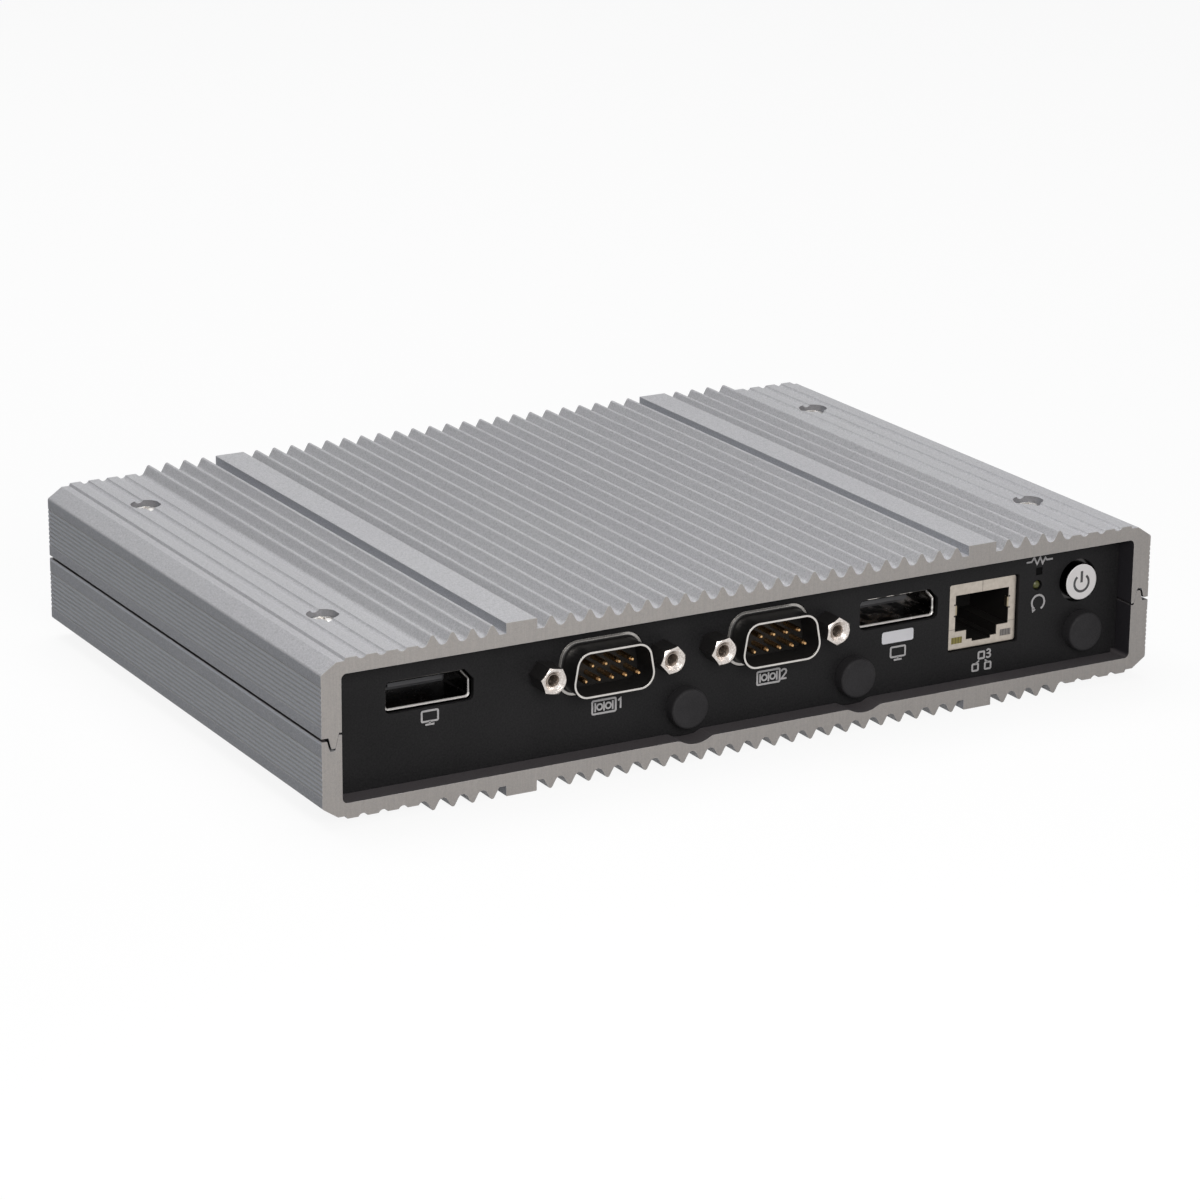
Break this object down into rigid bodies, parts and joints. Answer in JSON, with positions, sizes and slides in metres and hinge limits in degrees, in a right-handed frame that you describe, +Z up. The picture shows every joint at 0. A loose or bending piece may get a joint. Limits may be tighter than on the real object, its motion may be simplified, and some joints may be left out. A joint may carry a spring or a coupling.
{
  "type": "fanless industrial pc",
  "caption": "Flat fanless computer in a ribbed aluminium housing, with recessed connector panels, serial, display and network sockets and a push button.",
  "frame": {"origin": "under the middle of the housing, on the plane it stands on", "axes": "+X to the right seen from the panel with the power button, +Y from that panel to the rear panel, +Z up"},
  "size_m": [0.18, 0.1254, 0.033],
  "materials": {
    "housing": "bead-blasted, clear anodised extrusion",
    "panel": "fine textured black",
    "nickel": "nickel plated",
    "steel": "zinc plated",
    "gold": "gold plated",
    "black_plastic": "moulded",
    "rubber": "soft, matt",
    "white_plastic": "satin",
    "clear_plastic": "clear, frosted",
    "board": "green solder mask",
    "chip": "moulded, matt",
    "copper": "copper, brushed",
    "pad": "soft silicone",
    "olive_plastic": "moulded"
  },
  "bodies": {
    "pc": {"antenna_plug_1": "rubber", "antenna_plug_2": "rubber", "antenna_plug_3": "rubber", "board_screws": "steel", "board_standoffs": "steel", "coin_cell": "steel", "com1_insulator": "black_plastic", "com1_pins": "gold", "com1_shell": "nickel", "com2_insulator": "black_plastic", "com2_pins": "gold", "com2_shell": "nickel", "display1_contacts": "gold", "display1_insert": "black_plastic", "display1_shell": "nickel", "display2_contacts": "gold", "display2_insert": "black_plastic", "display2_shell": "nickel", "front_panel": "panel", "heat_spreader": "copper", "housing_lower": "housing", "housing_screws": "nickel", "housing_upper": "housing", "lan1_contacts": "gold", "lan1_insert": "black_plastic", "lan1_lights": "clear_plastic", "lan1_shield": "nickel", "lan2_contacts": "gold", "lan2_insert": "black_plastic", "lan2_lights": "clear_plastic", "lan2_shield": "nickel", "lan3_contacts": "gold", "lan3_insert": "black_plastic", "lan3_lights": "clear_plastic", "lan3_shield": "nickel", "main_board": "board", "memory_module": "board", "memory_socket": "black_plastic", "power_socket_body": "black_plastic", "power_socket_nut": "nickel", "power_socket_pin": "gold", "power_switch": "black_plastic", "processor": "chip", "rear_panel": "panel", "reset_switch": "black_plastic", "serial_standoffs": "nickel", "status_led": "clear_plastic", "status_light_pipe": "clear_plastic", "storage_card": "board", "storage_screw": "steel", "storage_socket": "black_plastic", "supply_coils": "chip", "thermal_pad": "pad", "tie_posts": "steel", "usb1_insert": "black_plastic", "usb1_shell": "nickel", "usb2_insert": "black_plastic", "usb2_shell": "nickel"},
    "button": {"power_button": "white_plastic"},
    "reset": {"reset_plunger": "olive_plastic"}
  },
  "joints": [
    {"name": "power_button_press", "type": "slide", "parent": "pc", "child": "button", "axis": [0, 1, 0], "range_m": [0, 0.0008], "stiffness_N_per_m": 700, "springref_m": -0.0004},
    {"name": "reset_press", "type": "slide", "parent": "pc", "child": "reset", "axis": [0, 1, 0], "range_m": [0, 0.00025], "stiffness_N_per_m": 1000, "springref_m": -0.0003}
  ]
}
